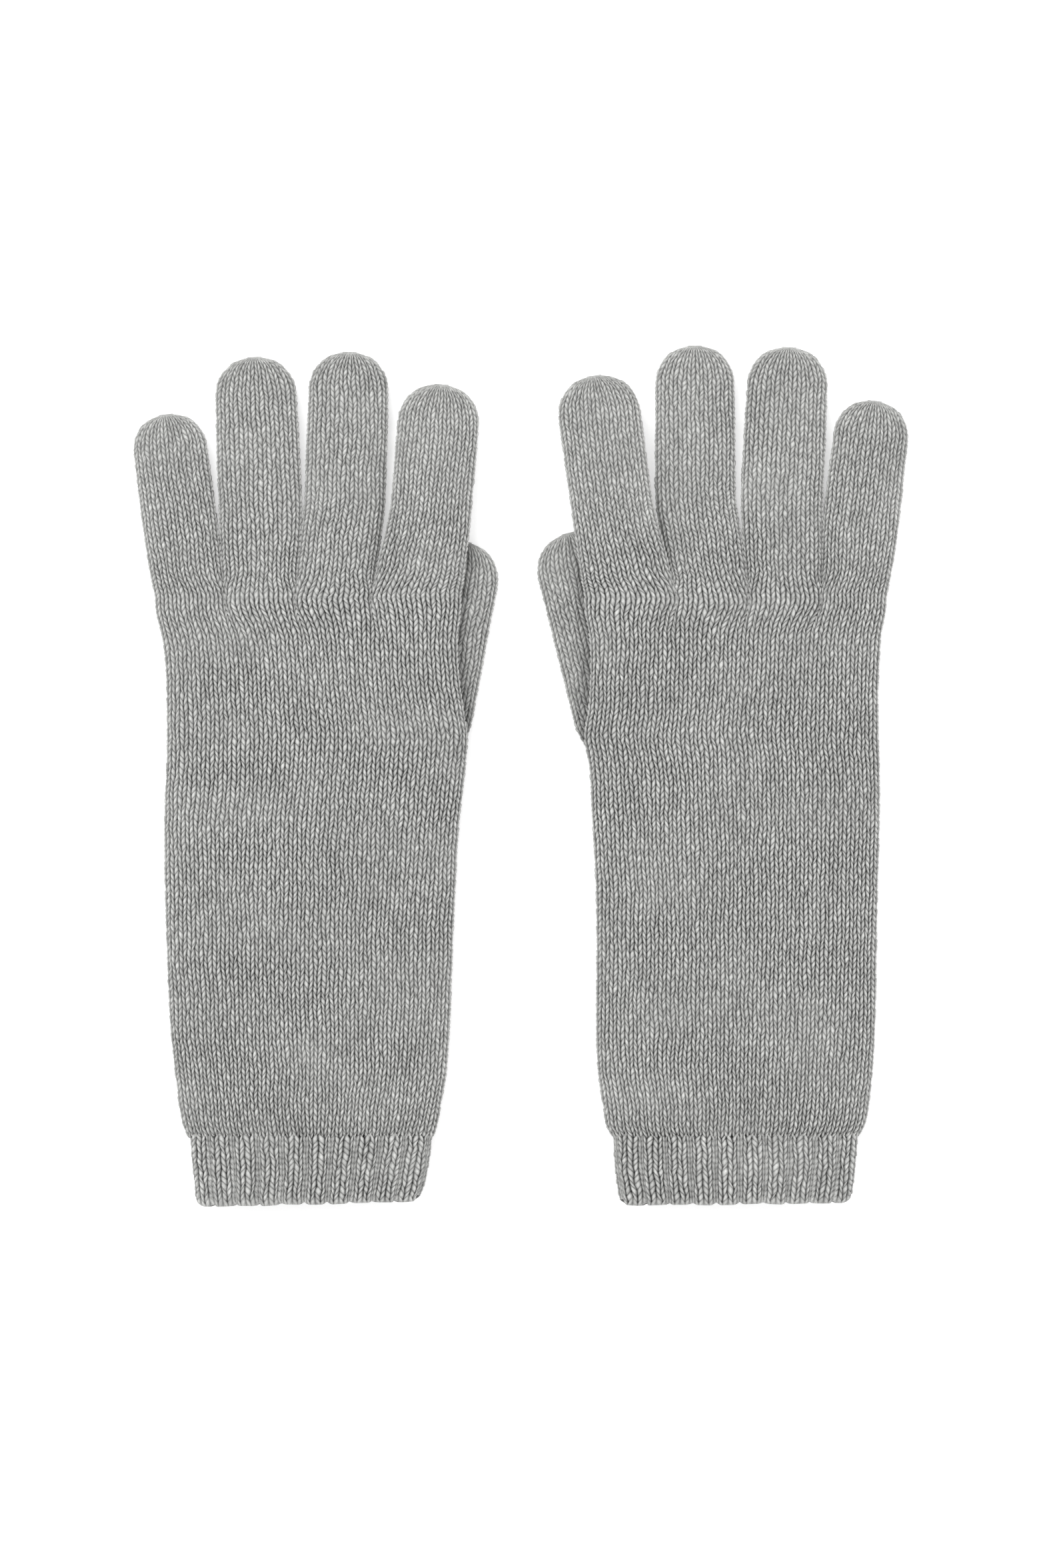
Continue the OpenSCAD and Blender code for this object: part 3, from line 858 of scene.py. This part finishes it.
class GLOVES_OT_cuffs(bpy.types.Operator):
    """Knit the two rib cuffs"""

    bl_idname = "gloves.cuffs"
    bl_label = "Rib cuffs"

    def execute(self, context):
        fabric = context.scene.glove_fabric
        shape = context.scene.glove_shape
        for side in (0, 1):
            plan = {
                "wales": CUFF_WALES, "courses": CUFF_COURSES,
                "ribs": shape.rib_count, "rib_height": shape.rib_height,
                "slope": (mm(0.9), mm(-0.4))[side],
                "left": ([mm(v) for v in (36.8, 37.9, 39.0)], [mm(v) for v in (37.0, 38.4, 39.2)])[side],
                "right": ([mm(v) for v in (35.4, 37.8, 39.0)], [mm(v) for v in (37.6, 39.0, 39.6)])[side],
                "thick": [mm(v) for v in (10.6, 10.8, 10.2, 9.6)],
                "mid": [mm(v) for v in (6.0, 6.0, 5.6)],
            }
            point = lambda a, c, inset: cuff_point(a, c, inset, plan)
            piece = knit(SIDES[side] + "_rib_cuff_knit", point, CUFF_WALES, 0, CUFF_COURSES, side, fabric,
                         calm_low=True, ribs=shape.rib_count, seed=300 + 40 * side)
            dress(piece, "rib_knit")
            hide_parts(SIDES[side] + "_rib_cuff")
            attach(piece, SIDES[side] + "_sleeve")
        return {"FINISHED"}


# Rows of stitches from the cuff to the knuckles, and the rows where the wrist's fold starts and ends.
COURSES = 92
WRIST_LOW = 42
WRIST_HIGH = 54


def course_y(c):
    """Place up the glove of row c of the sleeve and hand."""
    return CUFF_Y + c * (RIM_Y - CUFF_Y) / COURSES


def body_course(side, a, c, inset):
    """Point of the sleeve and hand at wale a and row c."""
    return body_point(side, a, course_y(c), inset)


class GLOVES_OT_hands(bpy.types.Operator):
    """Knit the sleeves, wrists and hands"""

    bl_idname = "gloves.hands"
    bl_label = "Sleeves and hands"

    def execute(self, context):
        fabric = context.scene.glove_fabric
        for side in (0, 1):
            name = SIDES[side]
            point = lambda a, c, inset: body_course(side, a, c, inset)
            seed = 400 + 40 * side
            sleeve = knit(name + "_sleeve_knit", point, HAND_WALES, 0, WRIST_LOW, side, fabric, seed=seed)
            dress(sleeve, "plain_knit")
            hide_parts(name + "_sleeve")
            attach(sleeve, name + "_sleeve")
            wrist = knit(name + "_wrist_knit", point, HAND_WALES, WRIST_LOW, WRIST_HIGH, side, fabric,
                         seed=seed)
            dress(wrist, "plain_knit")
            hand = knit(name + "_hand_knit", point, HAND_WALES, WRIST_HIGH, COURSES, side, fabric,
                        calm_high=True, seed=seed)
            dress(hand, "plain_knit")
            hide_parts(name + "_hand")
            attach(hand, name + "_hand")
            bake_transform(wrist)
        return {"FINISHED"}


FINGER_SIZES = {
    "little": {"wales": 20, "upper": (23.9, 24.1)},
    "ring": {"wales": 20, "upper": (26.3, 26.0)},
    "middle": {"wales": 20, "upper": (25.8, 25.5)},
    "index": {"wales": 22, "upper": (26.3, 26.6)},
}


def knit_finger(side, name, fabric):
    """The three parts of a finger's tube."""
    marks = finger_line(side, name)
    length = line_at(marks, 0.0)[3]
    courses = int(round(length / fabric.finger_course))
    f = FINGERS.index(name)
    rim_w = CREASES[side][f + 1] - CREASES[side][f]
    upper = mm(FINGER_SIZES[name]["upper"][side])
    plan = {
        "marks": marks, "length": length, "courses": courses,
        "wales": FINGER_SIZES[name]["wales"],
        "width_at": [0.0, mm(10), mm(24), length - mm(12), length],
        "width": [rim_w, (rim_w + upper) / 2 + mm(0.2), upper, upper - mm(0.3), upper - mm(0.6)],
        "level": mm(11.0) if name == "index" else mm(3.9),
        "droop": bpy.context.scene.glove_shape.droop if name == "index" else 0.0,
    }
    point = lambda a, c, inset: finger_point(name, a, c, inset, plan)
    body = length - mm(4.2)
    per = body / (courses - TIP_ROWS)
    reach = []
    for joint, half in (("middle_fold", mm(6.7)), ("tip_fold", mm(5.8))):
        p = joint_place(SIDES[side] + "_" + name + "_" + joint)
        d = math.hypot((p[0] - CENTRE[side]) * TURN[side] - marks[0][0], p[1] - marks[0][1])
        reach.append((int(round((d - half) / per)), p, half))
    label = SIDES[side] + "_" + name
    cuts = [0, reach[0][0], reach[1][0], courses]
    for i, part in enumerate(("base", "mid", "tip")):
        piece = knit(label + "_" + part + "_knit", point, plan["wales"], cuts[i], cuts[i + 1], side, fabric,
                     tip=(part == "tip"), calm_low=(part == "base"), seed=500 + 80 * f + 40 * side)
        dress(piece, "plain_knit")
        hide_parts(label + "_" + part)
        if part == "base":
            low = mm(0.4)
            high = mm(10.5)
        else:
            joint = reach[i - 1]
            low = cuts[i] * per + mm(0.9)
            high = low + 2 * joint[2] - mm(1.8)
        au, ay, _, _ = line_at(marks, low)
        by = line_at(marks, high)[1]
        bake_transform(piece)


def painted_thumb_shadow(side, u, y):
    """Painted shadow where a thumb is tucked under the edge of its palm: how much the yarn's colour is
    darkened there.
    """
    edge = through(y, EDGE_Y, THUMB_EDGE[side])
    return 1 - 0.34 * np.exp(-(np.clip(u - edge + mm(0.8), 0, None) / mm(3.2)) ** 2)


def knit_fingers(name, context):
    """The same finger of both gloves."""
    for side in (0, 1):
        knit_finger(side, name, context.scene.glove_fabric)


class GLOVES_OT_little(bpy.types.Operator):
    """Knit the two little fingers"""

    bl_idname = "gloves.little_fingers"
    bl_label = "Little fingers"

    def execute(self, context):
        knit_fingers("little", context)
        return {"FINISHED"}


class GLOVES_OT_ring(bpy.types.Operator):
    """Knit the two ring fingers"""

    bl_idname = "gloves.ring_fingers"
    bl_label = "Ring fingers"

    def execute(self, context):
        knit_fingers("ring", context)
        return {"FINISHED"}


class GLOVES_OT_middle(bpy.types.Operator):
    """Knit the two middle fingers"""

    bl_idname = "gloves.middle_fingers"
    bl_label = "Middle fingers"

    def execute(self, context):
        knit_fingers("middle", context)
        return {"FINISHED"}


class GLOVES_OT_index(bpy.types.Operator):
    """Knit the two index fingers"""

    bl_idname = "gloves.index_fingers"
    bl_label = "Index fingers"

    def execute(self, context):
        knit_fingers("index", context)
        return {"FINISHED"}


class GLOVES_OT_thumbs(bpy.types.Operator):
    """Knit the two thumbs, tucked under their palms"""

    bl_idname = "gloves.thumbs"
    bl_label = "Thumbs"

    def execute(self, context):
        fabric = context.scene.glove_fabric
        for side in (0, 1):
            label = SIDES[side] + "_thumb"
            root = joint_place(label + "_root")
            fold = joint_place(label + "_fold")
            u0, u1 = [(p[0] - CENTRE[side]) * TURN[side] for p in (root, fold)]
            lean = math.atan2(u1 - u0, fold[1] - root[1])
            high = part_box(label + "_tip")[1]
            back = mm(9)
            start = (u0 - math.sin(lean) * back, root[1] - math.cos(lean) * back)
            length = (high[1] - start[1]) / math.cos(lean) - mm(0.1)
            courses = int(round(length / fabric.finger_course))
            plan = {
                "wales": THUMB_WALES, "courses": courses, "length": length,
                "width": mm(26.0), "thick": mm(6.0), "lean": lean, "start": start,
            }
            point = lambda a, c, inset: thumb_point(a, c, inset, plan)
            per = (length - mm(4.2)) / (courses - TIP_ROWS)
            to_fold = math.hypot(u1 - u0, fold[1] - root[1]) + back
            cut = int(round((to_fold - mm(6.5)) / per))
            # Each thumb gets a painted shadow along the edge of its palm.
            for part, c0, c1 in (("base", 0, cut), ("tip", cut, courses)):
                piece = knit(label + "_" + part + "_knit", point, THUMB_WALES, c0, c1, side, fabric,
                             tip=(part == "tip"), seed=900 + 40 * side,
                             painted_shadow_at=lambda u, y: painted_thumb_shadow(side, u, y))
                dress(piece, "plain_knit")
                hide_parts(label + "_" + part)
                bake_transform(piece)
        return {"FINISHED"}


class GLOVES_OT_stage(bpy.types.Operator):
    """Make the floor and studio light"""

    bl_idname = "gloves.stage"
    bl_label = "Stage"

    def execute(self, context):
        scene = context.scene
        bpy.ops.object.select_all(action="DESELECT")
        bpy.ops.mesh.primitive_plane_add(size=40.0, location=(0, 0, -0.0002))
        floor = context.object
        floor.name = "floor"
        bpy.ops.object.transform_apply(location=True, rotation=True, scale=True)
        material = bpy.data.materials.new("pale_floor")
        material.use_nodes = True
        shader = material.node_tree.nodes["Principled BSDF"]
        shader.inputs["Base Color"].default_value = (*scene.glove_colours.floor, 1)
        shader.inputs["Roughness"].default_value = 0.95
        shader.inputs["Specular IOR Level"].default_value = 0.1
        shader.inputs["Emission Color"].default_value = (1, 1, 1, 1)
        shader.inputs["Emission Strength"].default_value = 0.36
        floor.data.materials.append(material)
        world = bpy.data.worlds.new("studio")
        world.use_nodes = True
        world.node_tree.nodes["Background"].inputs["Color"].default_value = (1, 1, 1, 1)
        world.node_tree.nodes["Background"].inputs["Strength"].default_value = 0.88
        scene.world = world
        for name, place, power, size in (
            ("key_light", (-0.5, 0.9, 1.5), 12.0, 0.9),
            ("fill_light", (0.7, -0.5, 1.5), 3.0, 1.4),
        ):
            bpy.ops.object.light_add(type="AREA", location=place)
            light = context.object
            light.name = name
            light.data.energy = power
            light.data.size = size
            direction = np.array(place)
            yaw = math.atan2(direction[1], direction[0])
            tilt = math.atan2(math.hypot(direction[0], direction[1]), direction[2])
            light.rotation_euler = (0, tilt, yaw)
        scene.view_settings.view_transform = "Standard"
        scene.view_settings.look = "None"
        return {"FINISHED"}


class GLOVES_OT_camera(bpy.types.Operator):
    """Make the camera, straight above the gloves"""

    bl_idname = "gloves.camera"
    bl_label = "Camera"

    def execute(self, context):
        bpy.ops.object.camera_add(location=(0.00115, -0.0024, 1.412), rotation=(0, 0, 0))
        camera = context.object
        camera.name = "camera"
        camera.data.lens = 100.0
        camera.data.sensor_width = 36.0
        camera.data.sensor_fit = "AUTO"
        context.scene.camera = camera
        return {"FINISHED"}


class GLOVES_PT_panel(bpy.types.Panel):
    """Lists the pieces of the gloves"""

    bl_label = "Gloves"
    bl_idname = "GLOVES_PT_panel"
    bl_space_type = "VIEW_3D"
    bl_region_type = "UI"
    bl_category = "Gloves"

    def draw(self, context):
        layout = self.layout
        for step in STEPS:
            layout.operator("gloves." + step)
        for group in ("glove_fabric", "glove_shape", "glove_colours"):
            box = layout.box()
            for name in getattr(context.scene, group).bl_rna.properties.keys():
                if name not in ("rna_type", "name"):
                    box.prop(getattr(context.scene, group), name)


FINGER_STEPS = tuple(name + "_fingers" for name in FINGERS)
STEPS = ("camera", "cuffs", "hands", "thumbs") + FINGER_STEPS + ("stage",)
CLASSES = (
    GloveFabric,
    GloveShape,
    GloveColours,
    GLOVES_OT_camera,
    GLOVES_OT_cuffs,
    GLOVES_OT_hands,
    GLOVES_OT_thumbs,
    GLOVES_OT_little,
    GLOVES_OT_ring,
    GLOVES_OT_middle,
    GLOVES_OT_index,
    GLOVES_OT_stage,
    GLOVES_PT_panel,
)


def register():
    for cls in CLASSES:
        bpy.utils.register_class(cls)
    bpy.types.Scene.glove_fabric = bpy.props.PointerProperty(type=GloveFabric)
    bpy.types.Scene.glove_shape = bpy.props.PointerProperty(type=GloveShape)
    bpy.types.Scene.glove_colours = bpy.props.PointerProperty(type=GloveColours)


def unregister():
    del bpy.types.Scene.glove_fabric
    del bpy.types.Scene.glove_shape
    del bpy.types.Scene.glove_colours
    for cls in reversed(CLASSES):
        bpy.utils.unregister_class(cls)


def main():
    register()
    for step in STEPS:
        getattr(bpy.ops.gloves, step)()


if __name__ == "__main__":
    main()
